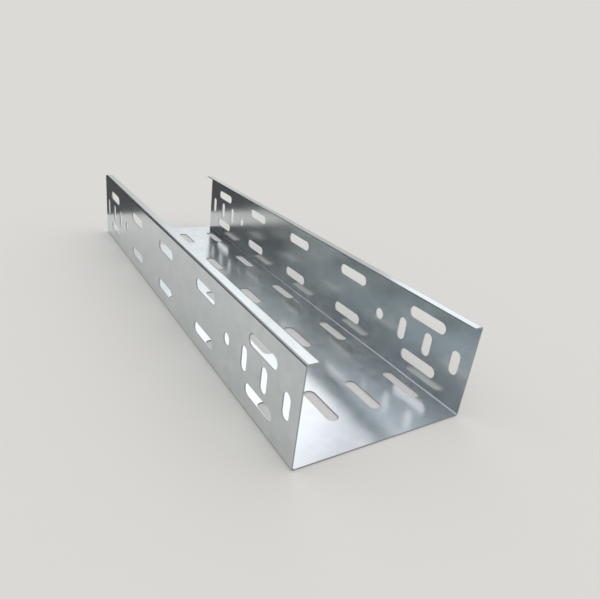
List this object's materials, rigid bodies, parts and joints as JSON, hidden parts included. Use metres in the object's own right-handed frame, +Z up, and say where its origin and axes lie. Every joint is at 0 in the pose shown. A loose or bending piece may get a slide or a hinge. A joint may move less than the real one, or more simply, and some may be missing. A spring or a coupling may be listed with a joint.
{
  "type": "perforated cable tray",
  "caption": "Straight U-shaped cable tray in bent sheet steel, with slotted floor and walls, small inward lips along the top and joint holes at both open ends.",
  "frame": {"origin": "centre of the underside of the floor", "axes": "+X along the tray's length, +Y across it from wall to wall, +Z up towards the open top"},
  "size_m": [0.5, 0.15, 0.077],
  "materials": {
    "galvanised_steel": "smooth zinc coat, satin"
  },
  "bodies": {
    "root": {"tray": "galvanised_steel"}
  },
  "joints": []
}
